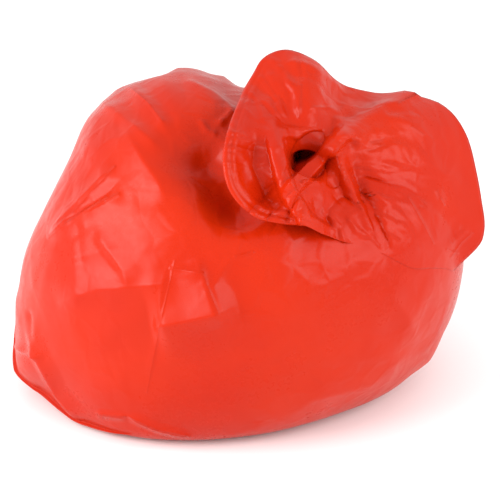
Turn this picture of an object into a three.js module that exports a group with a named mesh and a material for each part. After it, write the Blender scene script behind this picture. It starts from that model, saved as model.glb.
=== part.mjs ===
// A filled plastic bin bag, lying as it was put down on a level floor: a slack rounded body, flat
// underneath, with a welded seam across its base at the lower left and its neck gathered at the
// upper right. Past the neck the mouth of the bag opens out again like a ruffled flower.
// The film is one piece, so the bag is one closed skin: it runs from the seam over the body to the
// neck, up the back of the mouth, round its rim and down the front into the throat.
import * as THREE from "three";
import { mergeVertices } from "three/addons/utils/BufferGeometryUtils.js";

// The filled body, in millimetres. +X is right, +Y away from the front, +Z up.
const BODY_LENGTH = 500;
const BODY_DEPTH = 420;
const BODY_HEIGHT = 348;
const WIDEST_HEIGHT = 140;
// How far the rounding under the widest part would go down without a floor, and how square it is.
const ROUNDING_BELOW = 195;
const SQUARENESS_BELOW = 2.6;
const SQUARENESS_ABOVE = 2.1;

// The front view is taken from this many degrees above the floor.
const VIEW_RISE = 25;
// How far the body stands out of the plain rounded form round the outline of its front view:
// degrees anticlockwise from the right, millimetres.
const OUTLINE_SWELLS = [
  [0, 0],
  [60, 0],
  [88, -17],
  [105, 9],
  [120, 12],
  [135, 4],
  [150, -19],
  [165, -23],
  [182, -6],
  [196, 8],
  [206, 18],
  [215, 13],
  [226, 20],
  [238, 20],
  [252, 8],
  [275, -12],
  [300, -24],
  [325, -18],
];

// The neck: where it leaves the body, seen from the body's middle, and the gather itself.
const NECK_TURN = -55.4;
const NECK_RISE = 51.2;
const NECK_RADIUS = 22;
const NECK_LENGTH = 14;
// How many times as wide as its waist the neck is where it begins to leave the body.
const NECK_FLARE = 2.8;
const DIMPLE_DEPTH = 28;
const DIMPLE_RADIUS = 74;

// The mouth's rim round the neck, in the front view: degrees anticlockwise from the right, reach
// from the neck, and how far the rim stands in front of the neck. All but the angle in millimetres.
const RIM = [
  [9, 173, -111],
  [18, 165, -110],
  [25, 154, -107],
  [31, 139, -103],
  [36, 132, -99],
  [42, 112, -100],
  [50, 100, -101],
  [64, 91, -93],
  [76, 93, -80],
  [90, 109, -67],
  [103, 122, -63],
  [115, 121, -57],
  [124, 111, -48],
  [133, 104, -34],
  [148, 95, 5],
  [166, 92, 36],
  [182, 93, 50],
  [200, 93, 54],
  [213, 90, 52],
  [227, 85, 47],
  [241, 76, 40],
  [260, 70, 28],
  [274, 77, 15],
  [285, 88, 0],
  [296, 108, -24],
  [304, 135, -50],
  [311, 149, -70],
  [318, 170, -85],
  [323, 194, -95],
  [329, 205, -102],
  [339, 202, -106],
  [348, 190, -110],
  [358, 180, -111],
];
const MOUTH_THICKNESS = 3;
const MOUTH_CLEARANCE = 4;
// Folds of the mouth's film: the line of each crest, right and up of the neck in the front view,
// how far it stands out to the front, and how far it spreads to each side. All in millimetres.
const MOUTH_FOLDS = [
  { line: [[-38, 24], [-35, 0], [-26, -36], [-8, -67], [23, -85]], height: 13, spread: 11 },
  { line: [[21, 8], [36, -22], [53, -57], [64, -86]], height: 15, spread: 10 },
  { line: [[40, -5], [60, -38], [82, -86]], height: -9, spread: 13 },
  { line: [[-62, 22], [-66, -14], [-52, -40]], height: -9, spread: 18 },
  { line: [[112, 22], [122, -48]], height: 12, spread: 44 },
  { line: [[-4, 48], [4, 100]], height: 8, spread: 16 },
];
// The hollow in the front of the body, to the left of the mouth, measured from the body's middle.
const BODY_FOLDS = [{ line: [[-56, 104], [-32, 80], [-8, 50]], height: -16, spread: 30 }];
// The hole that is left in the middle of the gather.
const THROAT_RADIUS = 12;
const THROAT_DEPTH = 32;
const THROAT_RISE = 82;
const THROAT_SPREAD = 28;
const RIM_DROOP = 0.35;

// The welded seam across the base, seen from the body's middle, and the flap past the weld.
const BASE_DIRECTION = [-0.807, -0.343, -0.481];
const SEAM_DIRECTION = [0.59, -0.785, -0.187];
const SEAM_HALF_LENGTH = 140;
const FLAP_HEIGHT = 9;
const FLAP_THICKNESS = 3;

// How far in from its edge the flat underside is rounded, measured on its height.
const BASE_ROUNDING = 22;

// The mesh: pieces round the bag, and rings along its parts.
const SEGMENTS = 72;
const BODY_RINGS = 22;
const MOUTH_RINGS = 12;

const rad = THREE.MathUtils.degToRad;
const vec = (x, y, z) => new THREE.Vector3(x, y, z);

const PICTURE_RIGHT = vec(1, 0, 0);
const PICTURE_UP = vec(0, Math.sin(rad(VIEW_RISE)), Math.cos(rad(VIEW_RISE)));
const PICTURE_OUT = vec(0, -Math.cos(rad(VIEW_RISE)), Math.sin(rad(VIEW_RISE)));

// A smooth curve through a closed list of [degrees, value, ...] rows, as a function of the angle.
function roundTable(rows, column) {
  const keys = rows.map((row) => ((row[0] % 360) + 360) % 360);
  const order = keys.map((_, i) => i).sort((a, b) => keys[a] - keys[b]);
  const angles = order.map((i) => keys[i]);
  const values = order.map((i) => rows[i][column]);
  const n = angles.length;
  const angle = (i) => angles[((i % n) + n) % n] + 360 * Math.floor(i / n);
  const value = (i) => values[((i % n) + n) % n];
  const slope = (i) => (value(i + 1) - value(i - 1)) / (angle(i + 1) - angle(i - 1));
  return (radians) => {
    const a = ((THREE.MathUtils.radToDeg(radians) % 360) + 360) % 360;
    let i = angles.findIndex((next) => next > a) - 1;
    if (i === -2) i = n - 1;
    const at = a < angle(i) ? a + 360 : a;
    const step = angle(i + 1) - angle(i);
    const s = (at - angle(i)) / step;
    const h1 = s * s * (3 - 2 * s);
    const h2 = s * (1 - s) * (1 - s) * step;
    const h3 = s * s * (s - 1) * step;
    return value(i) * (1 - h1) + value(i + 1) * h1 + slope(i) * h2 + slope(i + 1) * h3;
  };
}

// How far a point (x, y) of the front view is from a line of points.
function distanceToLine(line, x, y) {
  let least = Infinity;
  for (let i = 0; i + 1 < line.length; i++) {
    const [ax, ay] = line[i];
    const [bx, by] = [line[i + 1][0] - ax, line[i + 1][1] - ay];
    const along = ((x - ax) * bx + (y - ay) * by) / (bx * bx + by * by);
    const t = THREE.MathUtils.clamp(along, 0, 1);
    least = Math.min(least, Math.hypot(x - ax - t * bx, y - ay - t * by));
  }
  return least;
}

function reliefAt(folds, x, y) {
  return folds.reduce((sum, { line, height, spread }) => {
    const off = distanceToLine(line, x, y) / spread;
    return sum + height * Math.exp(-off * off);
  }, 0);
}

const swellAt = roundTable(OUTLINE_SWELLS, 1);
const reachAt = roundTable(RIM, 1);
const standAt = roundTable(RIM, 2);

// The plain rounded body's radius in a direction from its middle, which is at its widest height.
function plainRadius(d) {
  const power = d.z < 0 ? SQUARENESS_BELOW : SQUARENESS_ABOVE;
  const height = d.z < 0 ? ROUNDING_BELOW : BODY_HEIGHT - WIDEST_HEIGHT;
  const across = Math.hypot(d.x / (BODY_LENGTH / 2), d.y / (BODY_DEPTH / 2));
  const sum = across ** power + (Math.abs(d.z) / height) ** power;
  return sum ** (-1 / power);
}

const neckWay = vec(
  Math.cos(rad(NECK_RISE)) * Math.cos(rad(NECK_TURN)),
  Math.cos(rad(NECK_RISE)) * Math.sin(rad(NECK_TURN)),
  Math.sin(rad(NECK_RISE)),
);

// The body's radius with its outline's swells, and that with the dimple that the neck sits in.
function swollenRadius(d) {
  const right = d.dot(PICTURE_RIGHT);
  const up = d.dot(PICTURE_UP);
  const nearOutline = (right * right + up * up) ** 2;
  return plainRadius(d) + swellAt(Math.atan2(up, right)) * nearOutline;
}

const neckFoot = neckWay.clone().multiplyScalar(swollenRadius(neckWay));

function bodyRadius(d) {
  const radius = swollenRadius(d);
  const off = d.clone().multiplyScalar(radius).distanceTo(neckFoot) / DIMPLE_RADIUS;
  const front = THREE.MathUtils.smoothstep(d.dot(PICTURE_OUT), 0, 0.3);
  const fold = reliefAt(BODY_FOLDS, radius * d.dot(PICTURE_RIGHT), radius * d.dot(PICTURE_UP));
  return radius - DIMPLE_DEPTH * Math.exp(-off * off) + front * fold;
}

// The floor presses the skin flat, and its flat part runs smoothly into the rounding beside it.
function pressed(p) {
  const above = p.z + WIDEST_HEIGHT;
  if (above < BASE_ROUNDING) {
    const eased = Math.max(0, above + BASE_ROUNDING) ** 2 / (4 * BASE_ROUNDING);
    p.z = eased - WIDEST_HEIGHT;
  }
  return p;
}

function bodyPoint(d) {
  return pressed(d.clone().multiplyScalar(bodyRadius(d)));
}

// The body's outward normal at the neck's foot, from the surface round it.
function neckNormal() {
  const side = vec(0, 0, 1).cross(neckWay).normalize();
  const top = neckWay.clone().cross(side);
  const at = (a, b) => {
    const d = neckWay.clone().addScaledVector(side, a).addScaledVector(top, b).normalize();
    return d.multiplyScalar(swollenRadius(d));
  };
  const step = 0.1;
  const across = at(step, 0).sub(at(-step, 0));
  const along = at(0, step).sub(at(0, -step));
  return across.cross(along).normalize();
}

const neckAxis = neckNormal();
const neckRight = PICTURE_RIGHT.clone().addScaledVector(neckAxis, -PICTURE_RIGHT.dot(neckAxis)).normalize();
const neckUp = neckAxis.clone().cross(neckRight);
const neckRadial = (angle) =>
  neckRight.clone().multiplyScalar(Math.cos(angle)).addScaledVector(neckUp, Math.sin(angle));

// Directions from the body's middle, laid out so that every ring closes in on the seam at one end
// and on the neck at the other. They come from an evenly divided ball whose poles are then drawn
// towards each other, to where the base and the neck are.
const baseWay = vec(...BASE_DIRECTION).normalize();
const poleAxis = neckWay.clone().sub(baseWay).normalize();
const drawWay = neckWay.clone().add(baseWay).normalize();
const drawShare = Math.tan(neckWay.angleTo(baseWay) / 4);
const seamWay = vec(...SEAM_DIRECTION);
seamWay.addScaledVector(poleAxis, -seamWay.dot(poleAxis)).normalize();
const acrossWay = poleAxis.clone().cross(seamWay);

function drawn(d) {
  const turn = 2 * Math.atan(Math.tan(d.angleTo(drawWay) / 2) * drawShare);
  const side = d.clone().addScaledVector(drawWay, -d.dot(drawWay)).normalize();
  return drawWay.clone().multiplyScalar(Math.cos(turn)).addScaledVector(side, Math.sin(turn));
}

// x and y lie in a plane that touches the ball at the base's pole, in shares of the ball's size.
function flatDirection(x, y) {
  const turn = 2 * Math.atan(Math.hypot(x, y));
  const round = Math.atan2(y, x);
  const d = poleAxis.clone().multiplyScalar(-Math.cos(turn));
  d.addScaledVector(seamWay, Math.sin(turn) * Math.cos(round));
  d.addScaledVector(acrossWay, Math.sin(turn) * Math.sin(round));
  return drawn(d);
}

const baseRadius = bodyRadius(baseWay);
const SEAM_BLEND = Math.tan(rad(60) / 2);
const millimetresToFlat = 1 / (2 * baseRadius * ((2 * drawShare) / (1 + drawShare * drawShare)));

// One ring of the body: flat is its size in the base's plane. Near the base it narrows to the seam,
// and lift stands the flap up past the weld, highest in the middle of its length.
function bodyRing(flat, lift = 0) {
  const rest = Math.max(0, 1 - flat / SEAM_BLEND);
  const long = Math.hypot(flat, SEAM_HALF_LENGTH * millimetresToFlat * rest);
  const ring = [];
  for (let j = 0; j < SEGMENTS; j++) {
    const a = (2 * Math.PI * j) / SEGMENTS;
    const d = flatDirection(long * Math.cos(a), flat * Math.sin(a));
    const p = bodyPoint(d).addScaledVector(d, lift * (1 - 0.9 * Math.abs(Math.cos(a)) ** 3));
    p.z = Math.max(p.z, -WIDEST_HEIGHT);
    ring.push(p);
  }
  return ring;
}

function bodyRings() {
  const edge = (FLAP_THICKNESS / 2) * millimetresToFlat;
  const rings = [bodyRing(0, FLAP_HEIGHT), bodyRing(edge, FLAP_HEIGHT), bodyRing(edge), bodyRing(4 * edge)];
  const neckEdge = rad(158);
  const first = rad(8);
  for (let i = 0; i <= BODY_RINGS; i++) {
    rings.push(bodyRing(Math.tan((first + ((neckEdge - first) * i) / BODY_RINGS) / 2)));
  }
  return rings;
}

// The short gathered neck, from the dimple's floor up to its waist.
function neckRings(angles) {
  const start = NECK_FLARE * NECK_RADIUS;
  return [1, 0.7, 0.45, 0.25, 0.1, 0].map((share) => {
    const radius = NECK_RADIUS + (start - NECK_RADIUS) * share;
    const rise = 1 - THREE.MathUtils.smoothstep(share, 0, 0.75);
    return angles.map((angle) => {
      const way = neckFoot.clone().addScaledVector(neckRadial(angle), radius).normalize();
      return bodyPoint(way).addScaledVector(neckAxis, NECK_LENGTH * rise);
    });
  });
}

// The mouth's film, from the waist at share 0 to the rim at share 1.
function mouthPoint(angle, share) {
  const way = neckFoot.clone().addScaledVector(neckRadial(angle), NECK_RADIUS).normalize();
  const start = bodyPoint(way).addScaledVector(neckAxis, NECK_LENGTH);
  const end = neckFoot
    .clone()
    .addScaledVector(PICTURE_RIGHT, reachAt(angle) * Math.cos(angle))
    .addScaledVector(PICTURE_UP, reachAt(angle) * Math.sin(angle))
    .addScaledVector(PICTURE_OUT, standAt(angle));
  const leave = neckAxis.clone().multiplyScalar(THROAT_RISE).addScaledVector(neckRadial(angle), THROAT_SPREAD);
  const arrive = end.clone().sub(start);
  arrive.addScaledVector(neckAxis, -arrive.dot(neckAxis) - RIM_DROOP * arrive.length());
  const s = share;
  const p = start
    .multiplyScalar((1 + 2 * s) * (1 - s) ** 2)
    .addScaledVector(end, s * s * (3 - 2 * s))
    .addScaledVector(leave, s * (1 - s) ** 2)
    .addScaledVector(arrive, s * s * (s - 1));
  const off = p.clone().sub(neckFoot);
  const fold = reliefAt(MOUTH_FOLDS, off.dot(PICTURE_RIGHT), off.dot(PICTURE_UP));
  return p.addScaledVector(PICTURE_OUT, fold * THREE.MathUtils.smoothstep(share, 0, 0.25));
}

// A point moved out along its direction from the body's middle until it is clear of the body.
function clearOfBody(p, gap) {
  const d = p.clone().normalize();
  const least = bodyRadius(d) + gap;
  return p.length() < least ? d.multiplyScalar(least) : p;
}

function mouthRings(angles) {
  const back = [];
  const front = [];
  const step = 0.01;
  for (let i = 1; i <= MOUTH_RINGS; i++) {
    const share = i / MOUTH_RINGS;
    const backRing = [];
    const frontRing = [];
    for (const angle of angles) {
      const along = mouthPoint(angle, share).sub(mouthPoint(angle, share - step));
      const round = mouthPoint(angle + step, share).sub(mouthPoint(angle - step, share));
      const normal = along.cross(round).normalize();
      const p = mouthPoint(angle, share);
      const low = p.clone().addScaledVector(normal, -MOUTH_THICKNESS / 2);
      const high = p.clone().addScaledVector(normal, MOUTH_THICKNESS / 2);
      const eased = MOUTH_CLEARANCE * THREE.MathUtils.smoothstep(share, 0, 0.3);
      backRing.push(clearOfBody(low, eased));
      frontRing.push(clearOfBody(high, eased + MOUTH_THICKNESS));
    }
    back.push(backRing);
    front.push(frontRing);
  }
  return [...back, ...front.reverse(), ...throatRings(angles)];
}

// The hole in the gather narrows from the waist's width to its blind end.
function throatRings(angles) {
  const rows = [
    [NECK_RADIUS - MOUTH_THICKNESS, 0],
    [(NECK_RADIUS - MOUTH_THICKNESS + THROAT_RADIUS) / 2, 0.25],
    [THROAT_RADIUS, 0.6],
    [THROAT_RADIUS * 0.8, 1],
  ];
  return rows.map(([radius, share]) =>
    angles.map((angle) => {
      const start = mouthPoint(angle, 0).addScaledVector(neckRadial(angle), radius - NECK_RADIUS);
      return start.addScaledVector(neckAxis, -THROAT_DEPTH * share);
    }),
  );
}

// A skin over rings of equally many points, closed at its first ring by the ring itself and at its
// last ring by one point in the middle.
function skin(rings) {
  const middle = rings.at(-1).reduce((sum, p) => sum.add(p), vec(0, 0, 0)).divideScalar(SEGMENTS);
  const closed = [...rings, rings.at(-1).map(() => middle)];
  const positions = closed.flat().flatMap((p) => p.toArray());
  const faces = [];
  for (let i = 0; i + 1 < closed.length; i++) {
    for (let j = 0; j < SEGMENTS; j++) {
      const a = i * SEGMENTS + j;
      const b = i * SEGMENTS + ((j + 1) % SEGMENTS);
      const c = a + SEGMENTS;
      const d = b + SEGMENTS;
      faces.push(a, b, d, a, d, c);
    }
  }
  const geometry = new THREE.BufferGeometry();
  geometry.setAttribute("position", new THREE.Float32BufferAttribute(positions, 3));
  geometry.setIndex(faces);
  return withoutSlivers(mergeVertices(geometry, 1e-3));
}

// Faces that lost a corner where the rings meet in the seam or the middle point are dropped.
function withoutSlivers(geometry) {
  const index = geometry.index.array;
  const kept = [];
  for (let i = 0; i < index.length; i += 3) {
    const [a, b, c] = [index[i], index[i + 1], index[i + 2]];
    if (a !== b && b !== c && c !== a) kept.push(a, b, c);
  }
  geometry.setIndex(kept);
  return geometry;
}

function signedVolume(geometry) {
  const at = (i) => vec().fromBufferAttribute(geometry.attributes.position, geometry.index.getX(i));
  let sum = 0;
  for (let i = 0; i < geometry.index.count; i += 3) {
    sum += at(i).dot(at(i + 1).cross(at(i + 2)));
  }
  return sum / 6;
}

function turnedOut(geometry) {
  if (signedVolume(geometry) < 0) geometry.setIndex([...geometry.index.array].reverse());
  geometry.computeVertexNormals();
  return geometry;
}

function bagGeometry() {
  const body = bodyRings();
  const angles = body.at(-1).map((p) => {
    const off = p.clone().sub(neckFoot);
    return Math.atan2(off.dot(neckUp), off.dot(neckRight));
  });
  return turnedOut(skin([...body, ...neckRings(angles), ...mouthRings(angles)]));
}

const film = new THREE.MeshStandardMaterial({ color: 0xee3f27, roughness: 0.35, metalness: 0 });
const bag = new THREE.Mesh(bagGeometry(), film);
bag.name = "bin_bag";

// The origin is on the floor, under the middle of the whole bag.
const part = new THREE.Group();
part.add(bag);
const box = new THREE.Box3().setFromObject(bag);
bag.position.set(-(box.min.x + box.max.x) / 2, -(box.min.y + box.max.y) / 2, -box.min.z);

export default part;
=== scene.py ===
import math

import bpy
import numpy as np
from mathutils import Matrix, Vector


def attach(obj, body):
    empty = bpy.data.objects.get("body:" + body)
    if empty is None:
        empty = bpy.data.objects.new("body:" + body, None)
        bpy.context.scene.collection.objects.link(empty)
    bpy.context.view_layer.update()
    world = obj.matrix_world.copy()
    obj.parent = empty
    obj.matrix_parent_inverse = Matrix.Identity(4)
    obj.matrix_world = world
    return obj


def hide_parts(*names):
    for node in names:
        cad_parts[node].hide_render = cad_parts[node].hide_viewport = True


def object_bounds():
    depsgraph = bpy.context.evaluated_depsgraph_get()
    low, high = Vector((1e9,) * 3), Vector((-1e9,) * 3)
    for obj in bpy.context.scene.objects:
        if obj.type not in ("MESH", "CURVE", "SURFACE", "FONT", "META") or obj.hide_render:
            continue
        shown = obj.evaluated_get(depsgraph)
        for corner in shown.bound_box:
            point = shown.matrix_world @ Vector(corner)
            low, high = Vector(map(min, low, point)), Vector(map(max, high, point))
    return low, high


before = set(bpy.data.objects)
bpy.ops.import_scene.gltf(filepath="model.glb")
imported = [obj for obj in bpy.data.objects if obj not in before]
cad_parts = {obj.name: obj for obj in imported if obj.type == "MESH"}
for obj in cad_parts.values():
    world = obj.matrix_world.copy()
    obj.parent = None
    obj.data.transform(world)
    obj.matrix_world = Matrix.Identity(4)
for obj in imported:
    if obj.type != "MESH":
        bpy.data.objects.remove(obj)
cad_low, cad_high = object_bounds()

# The filled body, in millimetres, as in the solid.
BODY_LENGTH = 500
BODY_DEPTH = 420
BODY_HEIGHT = 348
WIDEST_HEIGHT = 140
# Where the body's middle is in the part's frame.
BODY_MIDDLE = (-5.1, 0.1)
ROUNDING_BELOW = 195
SQUARENESS_BELOW = 2.6
SQUARENESS_ABOVE = 2.1
BASE_ROUNDING = 22
VIEW_RISE = 25
# What is added to the plain body round its outline, by degrees in the front view.
OUTLINE_SWELLS = [
    (0, 0),
    (60, 0),
    (88, -17),
    (105, 9),
    (120, 12),
    (135, 4),
    (150, -19),
    (165, -23),
    (182, -6),
    (196, 8),
    (206, 18),
    (215, 13),
    (226, 20),
    (238, 20),
    (252, 8),
    (275, -12),
    (300, -24),
    (325, -18),
]

# What is added to that at the corners between flat panels of film, joined by straight lines.
OUTLINE_CORNERS = [
    (80, 0),
    (91, 0),
    (95, 12),
    (99, 2),
    (108, 4),
    (113, -12),
    (118, -4),
    (124, 4),
    (134, 0),
    (172, 4),
    (186, 0),
    (200, 8),
    (206, 20),
    (212, 13),
    (224, 10),
    (229, 11),
    (236, 7),
    (242, 2),
    (304, 4),
    (326, 3),
    (332, 12),
    (340, 0),
]

# The neck and the mouth.
NECK_TURN = -55.4
NECK_RISE = 51.2
NECK_RADIUS = 22
NECK_LENGTH = 14
NECK_FLARE = 2.8
DIMPLE_DEPTH = 28
DIMPLE_RADIUS = 74
# The rim of the mouth: degrees round the neck, and how far it reaches out and stands to the front.
RIM = [
    (9, 173, -111),
    (18, 165, -110),
    (25, 154, -107),
    (31, 139, -103),
    (36, 132, -99),
    (42, 112, -100),
    (50, 100, -101),
    (64, 91, -93),
    (76, 93, -80),
    (90, 109, -67),
    (103, 122, -63),
    (115, 121, -57),
    (124, 111, -48),
    (133, 104, -34),
    (148, 95, 5),
    (166, 92, 36),
    (182, 93, 50),
    (200, 93, 54),
    (213, 90, 52),
    (227, 85, 47),
    (241, 76, 40),
    (260, 70, 28),
    (274, 77, 15),
    (285, 88, 0),
    (296, 108, -24),
    (304, 135, -50),
    (311, 149, -70),
    (318, 170, -85),
    (323, 194, -95),
    (329, 205, -102),
    (339, 202, -106),
    (348, 190, -110),
    (358, 180, -111),
]
# Folds of the film: the line of each crest in the front view, how far it stands out, and its spread.
MOUTH_FOLDS = [
    ([(-38, 24), (-35, 0), (-26, -36), (-8, -67), (23, -85)], 9, 13),
    ([(21, 8), (36, -22), (53, -57), (64, -86)], 15, 10),
    ([(40, -5), (60, -38), (82, -86)], -9, 13),
    ([(-62, 22), (-66, -14), (-52, -40)], -9, 18),
    ([(112, 22), (122, -48)], 12, 44),
    ([(-4, 48), (4, 100)], 8, 16),
]
BODY_FOLDS = [([(-36, 114), (-20, 90), (-4, 64)], -28, 32)]
# Creases of the body in the front view, measured from its middle: the line, how far it stands out,
# and its spread to the left of the line's way and to the right.
BODY_CREASES = [
    ([(-124, 196), (-98, 169), (-84, 151), (-72, 131)], 5, 12, 20),
    ([(-158, 178), (-111, 142), (-77, 112)], 4, 16, 12),
    ([(-62, 197), (-27, 179), (-2, 157)], 3, 8, 14),
    ([(-206, 28), (-169, 61), (-129, 100)], 4.5, 16, 9),
    ([(-206, 26), (-163, 52), (-120, 71)], 4.5, 8, 20),
    ([(-186, 38), (-150, 63), (-124, 86)], -3, 7, 7),
    ([(-196, -46), (-145, -30), (-102, -26), (-62, -20)], 5, 34, 26),
    ([(-72, 60), (-84, 84), (-108, 118), (-124, 146)], 5, 30, 30),
    ([(-72, 4), (-82, -68), (-98, -137)], 1.2, 5, 8),
    ([(-44, 6), (-32, -26), (-16, -66)], 5, 9, 36),
    ([(-30, -14), (-8, -62)], 1.6, 5, 6),
    ([(-92, -66), (-50, -58), (0, -44)], 15, 56, 50),
    ([(-72, -7), (-36, -12)], 2, 8, 14),
    ([(-27, -30), (-10, 2), (14, 9)], 1.6, 7, 9),
    ([(-229, -60), (-222, -96), (-198, -146), (-168, -182)], 6, 16, 12),
    ([(-231, -52), (-222, -92)], -3, 6, 6),
    ([(-256, -94), (-208, -104)], 4, 8, 8),
    ([(-156, -164), (-118, -166)], 3, 7, 8),
    ([(-121, -163), (-87, -178), (-48, -188)], 4, 8, 8),
    ([(-252, -122), (-222, -146)], 3, 8, 8),
    ([(-24, 141), (-5, 162)], 3, 6, 6),
    ([(-42, 150), (-34, 136), (-22, 132)], 2.5, 6, 6),
    ([(-150, 30), (-118, -10), (-112, -30)], 2.5, 24, 10),
    ([(60, -150), (140, -132), (196, -84)], 3, 40, 16),
    ([(150, -24), (176, -60), (190, -92)], 3, 20, 20),
    ([(20, -20), (70, -60), (92, -118)], 2, 40, 40),
]
# Creases of the mouth's film in the front view, measured from the neck, in the same order.
MOUTH_CREASES = [
    ([(21, 8), (35, -22), (45, -42), (52, -57), (66, -90)], 6, 14, 9),
    ([(33, 4), (50, -34), (64, -62), (80, -96)], -13, 9, 28),
    ([(-58, 30), (-64, -8), (-50, -42), (-28, -52)], -8, 24, 24),
    ([(98, -39), (124, -85)], 3, 5, 9),
    ([(-30, 88), (-17, 76), (-15, 44)], 4, 8, 8),
    ([(-2, 50), (14, 56), (30, 50)], 3, 7, 7),
    ([(-34, 106), (-8, 103), (20, 88), (38, 72)], 5, 12, 14),
    ([(84, 58), (100, 66), (122, 82)], 6, 7, 10),
    ([(70, 48), (96, 44), (112, 34)], 4, 9, 12),
    ([(8, -52), (18, -64)], 3, 4, 5),
    ([(33, -58), (44, -74), (60, -84)], 3, 5, 5),
    ([(70, -66), (80, -84)], 3, 5, 5),
    ([(140, -96), (156, -80), (172, -66)], 4, 7, 7),
    ([(132, -26), (138, -42)], 2.5, 5, 5),
    ([(114, -50), (126, -44)], 2.5, 5, 5),
    ([(150, 66), (164, 48), (170, 20)], 3, 12, 10),
    ([(88, -60), (112, -100)], 2.5, 8, 8),
    ([(-72, 78), (-58, 60), (-50, 34)], 3, 10, 6),
    ([(-84, 10), (-70, -4), (-60, -30)], 2.5, 7, 7),
    ([(60, 40), (86, 16), (96, -12)], 3, 18, 12),
    ([(30, 66), (52, 44), (60, 18)], 3, 9, 12),
    ([(104, 10), (140, -14), (166, -20)], 2.5, 14, 14),
    ([(-50, 96), (-36, 70), (-34, 44)], 3, 10, 10),
]
# Flat-topped strips of film: the line, its height, half its width, and the width of its edges.
MOUTH_STRIPS = [
    ([(-42, 26), (-37, 2), (-33, -17), (-27, -36), (-9, -64), (20, -82)], 10, 6, 3),
]
# Strips and creases of the inside, round the throat.
INNER_STRIPS = [
    ([(42, 36), (20, 15), (1, -5), (-30, -40)], 14, 6, 4.5),
    ([(20, 34), (42, 32), (58, 29)], 7, 9, 7),
    ([(-36, 26), (-26, 28), (-6, 26), (10, 27)], 6, 4, 4),
]
INNER_CREASES = [
    ([(-12, 14), (-19, -4), (-27, -22)], -26, 7, 8),
    ([(14, 4), (19, -10), (21, -30)], -20, 9, 8),
    ([(-16, -25), (8, -23)], 6, 4, 5),
]
# The hole between the folds: right and up of the neck, half its width and its length, its depth
# and its tilt in degrees.
HOLE = (-6, 13, 9, 17, 50, -42)
# The middle of the stretch where the rim lies on the body, in degrees as in the rim's table.
FLUSH_MIDDLE = 306
# The rolled edge of the mouth where it faces the front: two low rolls, at shares of its width.
HEM_HEIGHT = 2.6
HEM_WIDTH = 11
HEM_ROLLS = (0.3, 1.0)
HEM_MIDDLE = 195
# Chance creases all over the body, and others that run out from the gather over the mouth.
SCATTERED_CREASES = 90
SCATTERED_SEED = 7
GATHER_CREASES = 70
GATHER_SEED = 11
# Folds that run out from the gather over the body.
PLEAT_HEIGHT = 3.5
PLEATS = 9
FINE_PLEATS = 17
# Creases are kept off the seam's first rings and off the film that lies on the floor.
CLEAR_OF_SEAM = (8, 24)
CLEAR_OF_FLOOR = 25
# Fine creases, too narrow for the mesh: the line in the front view, its height and its width.
FINE_CREASES = [
    ([(-66, 0), (-82, -68), (-97, -137)], 0.5, 2.2),
    ([(-70, -7), (-38, -12)], 0.6, 2.6),
    ([(-37, -12), (-21, -53)], 0.9, 3),
    ([(-205, 27), (-168, 60), (-131, 98)], 1.2, 3.5),
    ([(-205, 25), (-164, 52), (-126, 69)], 1.2, 3.5),
    ([(-4, 5), (14, 9)], 1.0, 3),
    ([(-152, -164), (-122, -165)], 1.2, 3),
    ([(-118, -165), (-87, -179), (-53, -187)], 1.2, 3),
    ([(178, 66), (205, 19)], 0.9, 3.2),
    ([(-126, 194), (-98, 169), (-82, 148)], 1.0, 3.5),
    ([(113, 42), (126, 31)], 1.0, 3.4),
    ([(128, 30), (144, 16)], 1.0, 3.4),
    ([(101, 100), (134, 45), (146, 14)], 0.9, 3.4),
    ([(93, 46), (104, 37)], 1.0, 3),
    ([(152, 30), (166, 22)], 1.0, 3),
    ([(228, 4), (240, 20), (252, 30)], 1.1, 3.4),
    ([(222, 12), (236, 8)], 1.0, 3),
    ([(184, 142), (196, 134)], 1.0, 3),
    ([(210, 74), (218, 60)], 1.0, 3),
    ([(64, 184), (62, 150)], 1.0, 3),
    ([(74, 160), (96, 162)], 1.0, 3),
    ([(170, 168), (196, 182)], 1.4, 3),
]
# The film's thickness where it stands free, and how far the mouth keeps from the body.
FILM = 1.6
THINNING_AT_RIM = 0.85
MOUTH_CLEARANCE = 4
# How steeply the film leaves the throat and spreads, and how much it droops at the rim.
THROAT_RISE = 82
THROAT_SPREAD = 28
RIM_DROOP = 0.35

# The seam across the base and the flap past it.
BASE_DIRECTION = (-0.807, -0.343, -0.481)
SEAM_DIRECTION = (0.59, -0.785, -0.187)
SEAM_HALF_LENGTH = 140
FLAP_HEIGHT = 5
FLAP_THICKNESS = 1.5

# The mesh: points round the bag, and rings of points along each part of it.
SEGMENTS = 300
BODY_RINGS = 180
NECK_RINGS = 16
MOUTH_RINGS = 50
THROAT_RINGS = 14

# The simulation: it works on a larger copy, because cloth settings suit sizes of metres.
SIM_SCALE = 4
SIM_FRAMES = 16
SIM_BENDING = 2.0
SIM_PIN = 0.5
BODY_HOLD = 0.25
BODY_GROWTH = 0.07
MOUTH_HOLD = 0.35
MOUTH_GROWTH = 0.1
HELD_ROWS = 6
HELD_ABOVE_FLOOR = 3
MOST_MOVE = 12

# The film's colours and gloss, and its facets and waves: how many to a metre, and how high in metres.
FILM_RED = (0.455, 0.013, 0.0007, 1)
FILM_ORANGE = (0.495, 0.018, 0.0011, 1)
FILM_SPECULAR = 0.16
ROUGHNESS = (0.25, 0.35)
LARGE_FACETS = (13, 0.0013)
SMALL_FACETS = (38, 0.00035)
WAVES = (11, 0.004)
BUMP_STRENGTH = 0.7

# The camera, at the photograph's viewing angle, in metres.
CAMERA_DISTANCE = 2.2
PICTURE_WIDTH = 0.5559
AIM_RIGHT = 0.0059
AIM_UP = -0.0388
SENSOR_WIDTH = 36
# The lights: where each is, its width and height, and its power.
KEY_LIGHT = ((-1.7, -0.75, 1.0), 1.6, 0.95, 37)
FILL_LIGHT = ((1.5, -1.0, 1.1), 1.4, 1.4, 23)
LIT_POINT = (0, 0, 0.2)
SURROUND = 1.05
FLOOR_SIZE = 30

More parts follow.
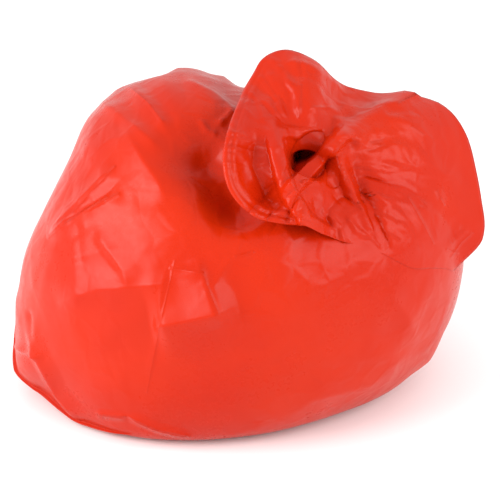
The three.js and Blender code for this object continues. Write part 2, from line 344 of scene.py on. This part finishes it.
PICTURE_RIGHT = np.array([1.0, 0.0, 0.0])
PICTURE_UP = np.array([0.0, math.sin(math.radians(VIEW_RISE)), math.cos(math.radians(VIEW_RISE))])
PICTURE_OUT = np.array([0.0, -math.cos(math.radians(VIEW_RISE)), math.sin(math.radians(VIEW_RISE))])


def unit(a):
    a = np.asarray(a, float)
    return a / np.maximum(np.linalg.norm(a, axis=-1, keepdims=True), 1e-12)


def smoothstep(x, low, high):
    t = np.clip((x - low) / (high - low), 0, 1)
    return t * t * (3 - 2 * t)


def round_table(rows, column):
    """A smooth closed curve through (degrees, value, ...) rows, as a function of radians."""
    rows = sorted((row[0] % 360, row[column]) for row in rows)
    keys = np.array([r[0] for r in rows], float)
    values = np.array([r[1] for r in rows], float)
    n = len(rows)
    before, after = np.roll(keys, 1), np.roll(keys, -1)
    before[0] -= 360
    after[-1] += 360
    slopes = (np.roll(values, -1) - np.roll(values, 1)) / (after - before)

    def at(radians):
        a = np.degrees(radians) % 360
        i = (np.searchsorted(keys, a, side="right") - 1) % n
        j = (i + 1) % n
        start = keys[i]
        a = np.where(a < start, a + 360, a)
        step = np.where(i == n - 1, keys[0] + 360 - keys[-1], keys[j] - start)
        s = (a - start) / step
        blend = s * s * (3 - 2 * s)
        return (
            values[i] * (1 - blend)
            + values[j] * blend
            + slopes[i] * s * (1 - s) ** 2 * step
            + slopes[j] * s * s * (s - 1) * step
        )

    return at


def distance_to_line(line, x, y):
    least = np.full(np.shape(x), np.inf)
    for (ax, ay), (bx, by) in zip(line, line[1:]):
        bx, by = bx - ax, by - ay
        t = np.clip(((x - ax) * bx + (y - ay) * by) / (bx * bx + by * by), 0, 1)
        least = np.minimum(least, np.hypot(x - ax - t * bx, y - ay - t * by))
    return least


def relief_at(folds, x, y):
    total = np.zeros(np.shape(x))
    for line, height, spread in folds:
        total += height * np.exp(-((distance_to_line(line, x, y) / spread) ** 2))
    return total


def along_line(line, x, y):
    """How far to the left of a line each point is, and how far along it as a share of its length."""
    line = np.array(line, float)
    steps = np.diff(line, axis=0)
    lengths = np.hypot(steps[:, 0], steps[:, 1])
    starts = np.cumsum(lengths) - lengths
    least = np.full(np.shape(x), np.inf)
    off = np.zeros(np.shape(x))
    share = np.zeros(np.shape(x))
    for (ax, ay), (bx, by), length, start in zip(line, steps, lengths, starts):
        t = np.clip(((x - ax) * bx + (y - ay) * by) / length**2, 0, 1)
        away = np.hypot(x - ax - t * bx, y - ay - t * by)
        side = np.sign(bx * (y - ay) - by * (x - ax))
        closer = away < least
        least = np.where(closer, away, least)
        off = np.where(closer, side * away, off)
        share = np.where(closer, (start + t * length) / lengths.sum(), share)
    return off, share


def creases_at(creases, x, y):
    """Sharp-crested folds that die away at both ends of their lines."""
    total = np.zeros(np.shape(x))
    for line, height, left, right in creases:
        off, share = along_line(line, x, y)
        near = np.clip(1 - np.abs(off) / np.where(off > 0, left, right), 0, 1)
        total += height * near**1.6 * smoothstep(np.minimum(share, 1 - share), -0.02, 0.22)
    return total


def strips_at(strips, x, y):
    total = np.zeros(np.shape(x))
    for line, height, half, edge in strips:
        off, share = along_line(line, x, y)
        across = smoothstep(half + edge - np.abs(off), 0, edge)
        total += height * across * smoothstep(np.minimum(share, 1 - share), -0.02, 0.15)
    return total


def hole_at(x, y):
    right, up, half_width, half_length, depth, tilt = HOLE
    turn = math.radians(tilt)
    a = (x - right) * math.cos(turn) + (y - up) * math.sin(turn)
    b = -(x - right) * math.sin(turn) + (y - up) * math.cos(turn)
    return -depth * np.exp(-(((a / half_width) ** 2 + (b / half_length) ** 2) ** 2))


def corner_at(radians):
    keys, values = zip(*OUTLINE_CORNERS)
    return np.interp(np.degrees(radians) % 360, keys, values, period=360)


swell_at = round_table(OUTLINE_SWELLS, 1)
reach_at = round_table(RIM, 1)
stand_at = round_table(RIM, 2)


def plain_radius(d):
    below = d[..., 2] < 0
    power = np.where(below, SQUARENESS_BELOW, SQUARENESS_ABOVE)
    height = np.where(below, ROUNDING_BELOW, BODY_HEIGHT - WIDEST_HEIGHT)
    across = np.hypot(d[..., 0] / (BODY_LENGTH / 2), d[..., 1] / (BODY_DEPTH / 2))
    total = across**power + (np.abs(d[..., 2]) / height) ** power
    return total ** (-1 / power)


neck_way = np.array(
    [
        math.cos(math.radians(NECK_RISE)) * math.cos(math.radians(NECK_TURN)),
        math.cos(math.radians(NECK_RISE)) * math.sin(math.radians(NECK_TURN)),
        math.sin(math.radians(NECK_RISE)),
    ]
)


def swollen_radius(d):
    right = d @ PICTURE_RIGHT
    up = d @ PICTURE_UP
    near_outline = right * right + up * up
    angle = np.arctan2(up, right)
    corner = corner_at(angle) * (near_outline**16 - 0.55 * near_outline**4)
    return plain_radius(d) + swell_at(angle) * near_outline**2 + corner


neck_foot = neck_way * swollen_radius(neck_way)


def body_radius(d):
    radius = swollen_radius(d)
    off = np.linalg.norm(d * radius[..., None] - neck_foot, axis=-1) / DIMPLE_RADIUS
    front = smoothstep(d @ PICTURE_OUT, 0, 0.3)
    fold = relief_at(BODY_FOLDS, radius * (d @ PICTURE_RIGHT), radius * (d @ PICTURE_UP))
    return radius - DIMPLE_DEPTH * np.exp(-off * off) + front * fold


def pressed(p):
    """The floor presses the skin flat, and its flat part runs smoothly into the rounding beside it."""
    above = p[..., 2] + WIDEST_HEIGHT
    eased = np.maximum(0, above + BASE_ROUNDING) ** 2 / (4 * BASE_ROUNDING)
    p = p.copy()
    p[..., 2] = np.where(above < BASE_ROUNDING, eased, above) - WIDEST_HEIGHT
    return p


def body_point(d):
    return pressed(d * body_radius(d)[..., None])


def neck_normal():
    side = unit(np.cross([0, 0, 1], neck_way))
    top = np.cross(neck_way, side)

    def at(a, b):
        d = unit(neck_way + side * a + top * b)
        return d * swollen_radius(d)

    return unit(np.cross(at(0.1, 0) - at(-0.1, 0), at(0, 0.1) - at(0, -0.1)))


neck_axis = neck_normal()
neck_right = unit(PICTURE_RIGHT - neck_axis * (PICTURE_RIGHT @ neck_axis))
neck_up = np.cross(neck_axis, neck_right)


def neck_radial(angle):
    return np.cos(angle)[..., None] * neck_right + np.sin(angle)[..., None] * neck_up


base_way = unit(BASE_DIRECTION)
pole_axis = unit(neck_way - base_way)
draw_way = unit(neck_way + base_way)
draw_share = math.tan(math.acos(neck_way @ base_way) / 4)
seam_way = np.array(SEAM_DIRECTION)
seam_way = unit(seam_way - pole_axis * (seam_way @ pole_axis))
across_way = np.cross(pole_axis, seam_way)


def drawn(d):
    turn = 2 * np.arctan(np.tan(np.arccos(np.clip(d @ draw_way, -1, 1)) / 2) * draw_share)
    side = unit(d - draw_way * (d @ draw_way)[..., None])
    return draw_way * np.cos(turn)[..., None] + side * np.sin(turn)[..., None]


def flat_direction(x, y):
    turn = 2 * np.arctan(np.hypot(x, y))
    around = np.arctan2(y, x)
    d = -pole_axis * np.cos(turn)[..., None]
    d = d + seam_way * (np.sin(turn) * np.cos(around))[..., None]
    d = d + across_way * (np.sin(turn) * np.sin(around))[..., None]
    return drawn(d)


base_radius = body_radius(base_way[None])[0]
SEAM_BLEND = math.tan(math.radians(60) / 2)
to_flat = 1 / (2 * base_radius * (2 * draw_share / (1 + draw_share**2)))


def ring_angles():
    """Angles round the seam, closer together where the bag faces the front."""
    a = np.linspace(0, 2 * np.pi, 2000, endpoint=False)
    facing = flat_direction(np.cos(a), np.sin(a)) @ PICTURE_OUT
    density = 1 + 0.55 * facing / np.abs(facing).max()
    total = np.concatenate([[0], np.cumsum(density)])
    wanted = np.arange(SEGMENTS) / SEGMENTS * total[-1]
    return np.interp(wanted, total, np.append(a, 2 * np.pi))


around = ring_angles()


def body_ring(flat, lift=0.0):
    rest = max(0.0, 1 - flat / SEAM_BLEND)
    long = math.hypot(flat, SEAM_HALF_LENGTH * to_flat * rest)
    d = flat_direction(long * np.cos(around), flat * np.sin(around))
    height = lift * (1 - 0.9 * np.abs(np.cos(around)) ** 3)
    p = body_point(d) + d * height[..., None]
    p[..., 2] = np.maximum(p[..., 2], -WIDEST_HEIGHT)
    return p


def body_rings():
    edge = FLAP_THICKNESS / 2 * to_flat
    rings = [body_ring(0, FLAP_HEIGHT)]
    rings += [body_ring(edge, FLAP_HEIGHT * share) for share in np.linspace(1, 0, 6)]
    rings += [body_ring(edge * k) for k in (3, 6, 10)]
    first, last = math.radians(5), math.radians(158)
    for turn in np.linspace(first, last, BODY_RINGS):
        rings.append(body_ring(math.tan(turn / 2)))
    return rings


def neck_rings(angles):
    rings = []
    for share in np.linspace(1, 0, NECK_RINGS) ** 1.3:
        radius = NECK_RADIUS * (1 + (NECK_FLARE - 1) * share)
        rise = 1 - smoothstep(share, 0, 0.75)
        way = unit(neck_foot + neck_radial(angles) * radius)
        rings.append(body_point(way) + neck_axis * (NECK_LENGTH * rise))
    return rings


def mouth_point(angle, share):
    way = unit(neck_foot + neck_radial(angle) * NECK_RADIUS)
    start = body_point(way) + neck_axis * NECK_LENGTH
    reach = reach_at(angle)
    end = (
        neck_foot
        + PICTURE_RIGHT * (reach * np.cos(angle))[..., None]
        + PICTURE_UP * (reach * np.sin(angle))[..., None]
        + PICTURE_OUT * stand_at(angle)[..., None]
    )
    leave = neck_axis * THROAT_RISE + neck_radial(angle) * THROAT_SPREAD
    arrive = end - start
    length = np.linalg.norm(arrive, axis=-1)
    arrive = arrive - neck_axis * ((arrive @ neck_axis) + RIM_DROOP * length)[..., None]
    s = share
    p = (
        start * ((1 + 2 * s) * (1 - s) ** 2)
        + end * (s * s * (3 - 2 * s))
        + leave * (s * (1 - s) ** 2)
        + arrive * (s * s * (s - 1))
    )
    off = p - neck_foot
    fold = relief_at(MOUTH_FOLDS, off @ PICTURE_RIGHT, off @ PICTURE_UP) * smoothstep(share, 0, 0.25)
    return p + PICTURE_OUT * fold[..., None]


def lying_at(angles):
    """1 where the rim lies on the body, 0 elsewhere."""
    return smoothstep(np.cos(angles - math.radians(FLUSH_MIDDLE)), 0.86, 0.96)


def clear_of_body(p, gap, flush):
    """Lifts points off the body where they are too near, and lays them on it where flush is 1."""
    d = unit(p)
    length = np.linalg.norm(p, axis=-1)
    least = body_radius(d) + gap
    return d * (np.maximum(length, least) * (1 - flush) + least * flush)[..., None]


def film_sheet():
    """The film as one layer, from the base seam over the body and the neck to the rim of the mouth."""
    body = body_rings()
    off = body[-1] - neck_foot
    angles = np.arctan2(off @ neck_up, off @ neck_right)
    rings = body + neck_rings(angles)
    waist = len(rings) - 1
    lying = lying_at(angles)
    for share in np.linspace(0, 1, MOUTH_RINGS + 1)[1:]:
        rising = MOUTH_CLEARANCE * smoothstep(share, 0, 0.3)
        gap = rising * (1 - lying * smoothstep(share, 0.6, 1)) + 0.2
        flush = lying * smoothstep(share, 0.62, 0.97)
        rings.append(clear_of_body(mouth_point(angles, share), gap, flush))
    return np.array(rings), waist, angles


def grid_normals(grid):
    """Normals of a grid of rings, pointing out of the bag."""
    around_step = np.roll(grid, -1, 1) - np.roll(grid, 1, 1)
    along_step = np.gradient(grid, axis=0)
    return unit(np.cross(around_step, along_step))


def quads(rings, count):
    i, j = np.meshgrid(np.arange(rings - 1), np.arange(count), indexing="ij")
    k = (j + 1) % count
    corners = [i * count + j, i * count + k, (i + 1) * count + k, (i + 1) * count + j]
    return np.stack(corners, -1).reshape(-1, 4)


def add_group(obj, name, weights):
    group = obj.vertex_groups.new(name=name)
    levels = np.round(np.clip(weights, 0, 1) * 100).astype(int).ravel()
    for level in np.unique(levels):
        group.add(np.nonzero(levels == level)[0].tolist(), level / 100, "REPLACE")


def set_cloth(obj, growth):
    """Cloth that the hold group pins, and that grows where the slack group says, which is everywhere."""
    cloth = obj.modifiers.new("cloth", "CLOTH")
    cloth.collision_settings.use_collision = False
    settings = cloth.settings
    settings.quality = 6
    settings.mass = 0.05
    settings.tension_stiffness = 15
    settings.compression_stiffness = 15
    settings.shear_stiffness = 5
    settings.bending_stiffness = SIM_BENDING
    settings.vertex_group_mass = "hold"
    settings.pin_stiffness = SIM_PIN
    settings.vertex_group_shrink = "slack"
    settings.shrink_min = 0
    settings.shrink_max = -growth
    settings.effector_weights.gravity = 0


def simulated(part, hold, growth):
    """Moves of a part of the film that is cut a little too large and buckles round its shape."""
    rings, count = part.shape[:2]
    points = part.reshape(-1, 3) * SIM_SCALE / 1000
    mesh = bpy.data.meshes.new("sim")
    mesh.from_pydata(points.tolist(), [], quads(rings, count).tolist())
    obj = bpy.data.objects.new("sim", mesh)
    bpy.context.scene.collection.objects.link(obj)
    add_group(obj, "hold", hold)
    add_group(obj, "slack", np.ones(hold.shape))
    set_cloth(obj, growth)
    for number in range(1, SIM_FRAMES + 1):
        bpy.context.scene.frame_set(number)
    graph = bpy.context.evaluated_depsgraph_get()
    result = obj.evaluated_get(graph).to_mesh()
    settled = np.empty(rings * count * 3)
    result.vertices.foreach_get("co", settled)
    bpy.data.objects.remove(obj)
    bpy.context.scene.frame_set(1)
    return settled.reshape(rings, count, 3) * 1000 / SIM_SCALE - part


def crumpled(sheet, waist):
    """The film's body and mouth are each cut too large, and buckle into folds."""
    body_rows = np.arange(14, waist - 24, 2)
    mouth_rows = np.arange(waist + 6, len(sheet) + 1, 2)
    mouth_rows[-1] = min(mouth_rows[-1], len(sheet) - 1)
    body_edge = np.minimum(body_rows - body_rows[0], body_rows[-1] - body_rows)
    mouth_edge = mouth_rows - mouth_rows[0]
    moves = np.zeros(sheet.shape)
    for rows, edge, hold, growth in (
        (body_rows, body_edge, BODY_HOLD, BODY_GROWTH),
        (mouth_rows, mouth_edge, MOUTH_HOLD, MOUTH_GROWTH),
    ):
        part = sheet[rows][:, ::2]
        on_floor = part[..., 2] < -WIDEST_HEIGHT + HELD_ABOVE_FLOOR
        held = on_floor | (edge < HELD_ROWS)[:, None]
        settled = simulated(part, np.where(held, 1, hold), growth)
        moves[rows[0]:rows[-1] + 1] += spread(settled, rows)
    length = np.linalg.norm(moves, axis=-1, keepdims=True)
    return moves * np.minimum(1, MOST_MOVE / np.maximum(length, 1e-6))


def spread(field, rows):
    """A coarse field of moves, smoothed a little and spread over the fine grid."""
    for _ in range(2):
        field = (field + (np.roll(field, 1, 1) + np.roll(field, -1, 1)) / 2) / 2
        field[1:-1] = (field[1:-1] + (field[2:] + field[:-2]) / 2) / 2
    return refined(field, rows - rows[0], (rows[-1] - rows[0] + 1, field.shape[1] * 2, 3))


def refined(field, rows, shape):
    """A coarse field of moves spread over the fine grid."""
    by_ring = np.empty((shape[0], field.shape[1], 3))
    for c in range(3):
        for j in range(field.shape[1]):
            by_ring[:, j, c] = np.interp(np.arange(shape[0]), rows, field[:, j, c])
    fine = np.empty(shape)
    fine[:, ::2] = by_ring
    following = np.roll(by_ring, -1, 1)
    outer = np.roll(by_ring, 1, 1) + np.roll(by_ring, -2, 1)
    fine[:, 1::2] = (9 * (by_ring + following) - outer) / 16
    return fine


def scattered(body, d):
    """Chance creases all over the body, few and low at the front, where the others are."""
    rng = np.random.default_rng(SCATTERED_SEED)
    total = np.zeros(body.shape[:2])
    for _ in range(SCATTERED_CREASES):
        middle = unit(rng.normal(size=3))
        along = unit(np.cross(middle, rng.normal(size=3)))
        across = np.cross(middle, along)
        off = body - middle * body_radius(middle[None])[0]
        half = rng.uniform(25, 80)
        bend = rng.uniform(-14, 14)
        line = [(-half, 0), (0, bend), (half, 0)]
        height = rng.uniform(2, 5.5) * rng.choice([1, 1, -1])
        left, right = rng.uniform(8, 36, 2)
        near = smoothstep(off @ middle, -60, -30)
        total += creases_at([(line, height, left, right)], off @ along, off @ across) * near
    return total * (1 - 0.85 * smoothstep(d @ PICTURE_OUT, -0.3, 0.1))


def gather_creases():
    """Chance creases that run out from the gather over the mouth."""
    rng = np.random.default_rng(GATHER_SEED)
    creases = []
    for _ in range(GATHER_CREASES):
        turn = rng.uniform(0, 2 * math.pi)
        bend = rng.uniform(-0.16, 0.16)
        start = rng.uniform(34, 75)
        end = start + rng.uniform(25, 75)
        line = []
        for share in (0, 0.5, 1):
            reach = start + (end - start) * share
            angle = turn + bend * share
            line.append((reach * math.cos(angle), reach * math.sin(angle)))
        height = rng.uniform(1, 2.8) * rng.choice([1, 1, -1])
        creases.append((line, height, *rng.uniform(3, 8, 2)))
    return creases


def pleats(body, angles):
    """Folds that run out from the gather over the body, weaker at the front."""
    away = np.linalg.norm(body - neck_foot, axis=-1)
    wave = np.sin(angles * PLEATS + 2.2 * np.sin(angles * 2 + 1))
    wave = wave + 0.6 * np.sin(angles * FINE_PLEATS + 2 * np.cos(angles * 3))
    sharp = np.sign(wave) * np.abs(wave) ** 0.8
    fade = np.exp(-((np.maximum(away - 45, 0) / 60) ** 2)) * smoothstep(away, 20, 45)
    back = 0.3 + 0.7 * smoothstep(np.sin(angles), -0.3, 0.5)
    return PLEAT_HEIGHT * sharp * fade * back


def body_creased(body, angles):
    """The body with its chance creases and pleats, and with the creases that the front shows."""
    d = unit(body)
    chance = scattered(body, d) + pleats(body, angles)
    chance *= smoothstep(body[..., 2], -WIDEST_HEIGHT, -WIDEST_HEIGHT + CLEAR_OF_FLOOR)
    chance *= smoothstep(np.arange(len(body)), *CLEAR_OF_SEAM)[:, None]
    body = body + d * chance[..., None]
    relief = creases_at(BODY_CREASES, body @ PICTURE_RIGHT, body @ PICTURE_UP)
    relief *= smoothstep(d @ PICTURE_OUT, -0.12, 0.18)
    relief *= smoothstep(body[..., 2], -WIDEST_HEIGHT, -WIDEST_HEIGHT + 8)
    return body + d * relief[..., None]


def hem_at(share, angles):
    """The low rolls along the edge of the mouth."""
    from_rim = (1 - share) * reach_at(angles)
    rolled = smoothstep(np.cos(angles - math.radians(HEM_MIDDLE)), 0.1, 0.6)
    total = 0
    for at in HEM_ROLLS:
        total = total + np.exp(-(((from_rim - at * HEM_WIDTH) / (0.25 * HEM_WIDTH)) ** 2))
    return HEM_HEIGHT * rolled * total


def mouth_creased(mouth, angles):
    off = mouth - neck_foot
    x, y = off @ PICTURE_RIGHT, off @ PICTURE_UP
    share = (np.arange(len(mouth)) / MOUTH_RINGS)[:, None]
    relief = creases_at(MOUTH_CREASES + gather_creases(), x, y) + strips_at(MOUTH_STRIPS, x, y)
    relief = relief * smoothstep(share, 0, 0.2) + hem_at(share, angles)
    return mouth + PICTURE_OUT * relief[..., None]


def creased(sheet, waist, angles):
    """The sheet with its creases, but for the neck between the body and the mouth."""
    neck = waist - NECK_RINGS
    body = body_creased(sheet[:neck], angles)
    mouth = mouth_creased(sheet[waist:], angles)
    return np.concatenate([body, sheet[neck:waist], mouth])


def closed_bag(sheet, waist, angles):
    """The layer made solid: its outside, then back from the rim down its inside to the hole."""
    share = (np.arange(len(sheet) - waist) / MOUTH_RINGS)[:, None]
    film = FILM * (1 - THINNING_AT_RIM * lying_at(angles) * smoothstep(share, 0.6, 1))
    inside = sheet[waist:] - grid_normals(sheet)[waist:] * film[..., None]
    centre = inside[0].mean(0)
    inner = [centre + (inside[0] - centre) * size for size in np.linspace(1, 0.03, THROAT_RINGS)[1:]]
    inner = np.array([*inside[::-1], *inner])
    off = inner - neck_foot
    x, y = off @ PICTURE_RIGHT, off @ PICTURE_UP
    relief = strips_at(INNER_STRIPS, x, y) + creases_at(INNER_CREASES, x, y) + hole_at(x, y)
    relief *= smoothstep(70 - np.hypot(x, y), 0, 20)
    inner = inner + PICTURE_OUT * relief[..., None]
    return np.array([*sheet, *inner])


def placed(grid):
    """The grid in metres, in the part's frame."""
    return (grid + np.array([*BODY_MIDDLE, WIDEST_HEIGHT])) / 1000


def bag_mesh(name, grid):
    rings, count = grid.shape[:2]
    points = grid.reshape(-1, 3)
    points = np.vstack([points, grid[-1].mean(0)])
    last = (rings - 1) * count
    fan = [(last + j, last + (j + 1) % count, len(points) - 1) for j in range(count)]
    mesh = bpy.data.meshes.new(name)
    mesh.from_pydata(points.tolist(), [], quads(rings, count).tolist() + fan)
    mesh.update()
    obj = bpy.data.objects.new(name, mesh)
    bpy.context.scene.collection.objects.link(obj)
    for face in mesh.polygons:
        face.use_smooth = True
    return obj


class Nodes:
    """Builds the nodes of one material, all placed by the part's own coordinates."""

    def __init__(self, tree):
        self.nodes = tree.nodes
        self.links = tree.links
        self.place = self.new("TexCoord").outputs["Object"]

    def new(self, kind):
        return self.nodes.new("ShaderNode" + kind)

    def noise(self, scale, detail=2.0, rough=0.5, warp=0.0):
        node = self.new("TexNoise")
        node.inputs["Scale"].default_value = scale
        node.inputs["Detail"].default_value = detail
        node.inputs["Roughness"].default_value = rough
        node.inputs["Distortion"].default_value = warp
        self.links.new(self.place, node.inputs["Vector"])
        return node.outputs["Fac"]

    def ranged(self, value, low, high, out_low, out_high):
        node = self.new("MapRange")
        node.interpolation_type = "SMOOTHSTEP"
        self.links.new(value, node.inputs["Value"])
        node.inputs["From Min"].default_value = low
        node.inputs["From Max"].default_value = high
        node.inputs["To Min"].default_value = out_low
        node.inputs["To Max"].default_value = out_high
        return node.outputs["Result"]

    def maths(self, kind, *values):
        node = self.new("Math")
        node.operation = kind
        for socket, value in zip(node.inputs, values):
            if isinstance(value, (int, float)):
                socket.default_value = value
            else:
                self.links.new(value, socket)
        return node.outputs[0]

    def cells(self, scale):
        """Flat facets with ridges between them, pushed about so that no edge is straight."""
        warp = self.new("TexNoise")
        warp.inputs["Scale"].default_value = scale * 0.6
        self.links.new(self.place, warp.inputs["Vector"])
        push = self.new("VectorMath")
        push.operation = "MULTIPLY_ADD"
        self.links.new(warp.outputs["Color"], push.inputs[0])
        push.inputs[1].default_value = (0.5 / scale,) * 3
        self.links.new(self.place, push.inputs[2])
        node = self.new("TexVoronoi")
        node.feature = "DISTANCE_TO_EDGE"
        node.inputs["Scale"].default_value = scale
        self.links.new(push.outputs[0], node.inputs["Vector"])
        return self.ranged(node.outputs["Distance"], 0, 0.22, 1, 0)

    def along(self, way):
        """Millimetres from the body's middle along a fixed direction of the part."""
        node = self.new("VectorMath")
        node.operation = "DOT_PRODUCT"
        self.links.new(self.place, node.inputs[0])
        node.inputs[1].default_value = tuple(np.array(way) * 1000)
        middle = float(np.dot(way, [*BODY_MIDDLE, WIDEST_HEIGHT]))
        return self.maths("SUBTRACT", node.outputs["Value"], middle)

    def from_neck(self):
        """Metres from the foot of the neck."""
        node = self.new("VectorMath")
        node.operation = "DISTANCE"
        self.links.new(self.place, node.inputs[0])
        node.inputs[1].default_value = tuple(placed(neck_foot))
        return node.outputs["Value"]

    def from_piece(self, x, y, start, end):
        """The distance from one straight piece of a line."""
        bx, by = end[0] - start[0], end[1] - start[1]
        square = bx * bx + by * by
        x = self.maths("SUBTRACT", x, start[0])
        y = self.maths("SUBTRACT", y, start[1])
        along_x = self.maths("MULTIPLY", x, bx / square)
        along_y = self.maths("MULTIPLY", y, by / square)
        share = self.maths("ADD", along_x, along_y)
        share = self.maths("MINIMUM", self.maths("MAXIMUM", share, 0.0), 1.0)
        dx = self.maths("SUBTRACT", x, self.maths("MULTIPLY", share, bx))
        dy = self.maths("SUBTRACT", y, self.maths("MULTIPLY", share, by))
        square = self.maths("ADD", self.maths("MULTIPLY", dx, dx), self.maths("MULTIPLY", dy, dy))
        return self.maths("SQRT", square)

    def fine_crease(self, x, y, line, height, width):
        least = self.from_piece(x, y, line[0], line[1])
        for start, end in zip(line[1:], line[2:]):
            least = self.maths("MINIMUM", least, self.from_piece(x, y, start, end))
        near = self.maths("SUBTRACT", 1.0, self.maths("DIVIDE", least, width))
        near = self.maths("MAXIMUM", near, 0.0)
        return self.maths("MULTIPLY", self.maths("POWER", near, 1.5), height / 1000)


def film_color(build):
    mix = build.new("Mix")
    mix.data_type = "RGBA"
    mix.inputs["A"].default_value = FILM_RED
    mix.inputs["B"].default_value = FILM_ORANGE
    build.links.new(build.ranged(build.noise(7, 3), 0.3, 0.7, 0, 1), mix.inputs["Factor"])
    return mix.outputs["Result"]


def film_roughness(build):
    broad = build.ranged(build.noise(9, 4, 0.6), 0.3, 0.7, *ROUGHNESS)
    fine = build.ranged(build.noise(160, 2), 0.35, 0.65, -0.02, 0.03)
    return build.maths("ADD", broad, fine)


def crumple_height(build):
    """Facets that are strongest near the gather and in patches elsewhere, and slow waves."""
    patches = build.ranged(build.noise(5, 2), 0.42, 0.62, 0.12, 1)
    near_neck = build.ranged(build.from_neck(), 0.08, 0.24, 1.7, 0)
    slack = build.maths("MAXIMUM", patches, near_neck)
    large = build.maths("MULTIPLY", build.cells(LARGE_FACETS[0]), LARGE_FACETS[1])
    small = build.maths("MULTIPLY", build.cells(SMALL_FACETS[0]), SMALL_FACETS[1])
    facets = build.maths("MULTIPLY", build.maths("ADD", large, small), slack)
    waves = build.maths("MULTIPLY", build.noise(WAVES[0], 2, 0.45, 0.4), WAVES[1])
    return build.maths("ADD", facets, waves)


def fine_height(build):
    """The fine creases, on the front only."""
    x, y = build.along(PICTURE_RIGHT), build.along(PICTURE_UP)
    total = 0.0
    for line, height, width in FINE_CREASES:
        total = build.maths("ADD", total, build.fine_crease(x, y, line, height, width))
    return build.maths("MULTIPLY", total, build.ranged(build.along(PICTURE_OUT), 0, 60, 0, 1))


def film_material():
    mat = bpy.data.materials.new("film")
    mat.use_nodes = True
    build = Nodes(mat.node_tree)
    bsdf = build.nodes["Principled BSDF"]
    bsdf.inputs["Specular IOR Level"].default_value = FILM_SPECULAR
    build.links.new(film_color(build), bsdf.inputs["Base Color"])
    build.links.new(film_roughness(build), bsdf.inputs["Roughness"])
    bump = build.new("Bump")
    bump.inputs["Strength"].default_value = BUMP_STRENGTH
    bump.inputs["Distance"].default_value = 1.0
    height = build.maths("ADD", crumple_height(build), fine_height(build))
    build.links.new(height, bump.inputs["Height"])
    build.links.new(bump.outputs["Normal"], bsdf.inputs["Normal"])
    return mat


def add_bag():
    sheet, waist, angles = film_sheet()
    sheet = creased(sheet + crumpled(sheet, waist), waist, angles)
    bag = bag_mesh("bag_film", placed(closed_bag(sheet, waist, angles)))
    bag.data.materials.append(film_material())
    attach(bag, "root")
    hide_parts("bin_bag")


def add_floor():
    bpy.ops.mesh.primitive_plane_add(size=FLOOR_SIZE, location=(0, 0, 0))
    floor = bpy.context.object
    floor.name = "floor"
    mat = bpy.data.materials.new("floor")
    mat.use_nodes = True
    bsdf = mat.node_tree.nodes["Principled BSDF"]
    bsdf.inputs["Base Color"].default_value = (0.95, 0.95, 0.95, 1)
    bsdf.inputs["Roughness"].default_value = 0.9
    floor.data.materials.append(mat)


def turned_to(obj, way):
    """Turns a camera or a light so that it looks along a direction."""
    obj.rotation_mode = "QUATERNION"
    obj.rotation_quaternion = way.to_track_quat("-Z", "Y")


def add_camera():
    data = bpy.data.cameras.new("camera")
    data.sensor_width = SENSOR_WIDTH
    data.lens = SENSOR_WIDTH * CAMERA_DISTANCE / PICTURE_WIDTH
    cam = bpy.data.objects.new("camera", data)
    bpy.context.scene.collection.objects.link(cam)
    out = Vector(PICTURE_OUT)
    aim = Vector(PICTURE_RIGHT) * AIM_RIGHT + Vector(PICTURE_UP) * AIM_UP
    cam.location = (cad_low + cad_high) / 2 + aim + out * CAMERA_DISTANCE
    turned_to(cam, -out)
    bpy.context.scene.camera = cam


def add_area(name, location, width, height, power):
    data = bpy.data.lights.new(name, "AREA")
    data.shape = "RECTANGLE"
    data.size = width
    data.size_y = height
    data.energy = power
    light = bpy.data.objects.new(name, data)
    bpy.context.scene.collection.objects.link(light)
    light.location = location
    turned_to(light, Vector(LIT_POINT) - Vector(location))


def add_world():
    world = bpy.data.worlds.new("world")
    world.use_nodes = True
    background = world.node_tree.nodes["Background"]
    background.inputs["Color"].default_value = (1, 1, 1, 1)
    background.inputs["Strength"].default_value = SURROUND
    bpy.context.scene.world = world
    bpy.context.scene.view_settings.view_transform = "Standard"


add_bag()
add_floor()
add_camera()
add_area("key", *KEY_LIGHT)
add_area("fill", *FILL_LIGHT)
add_world()
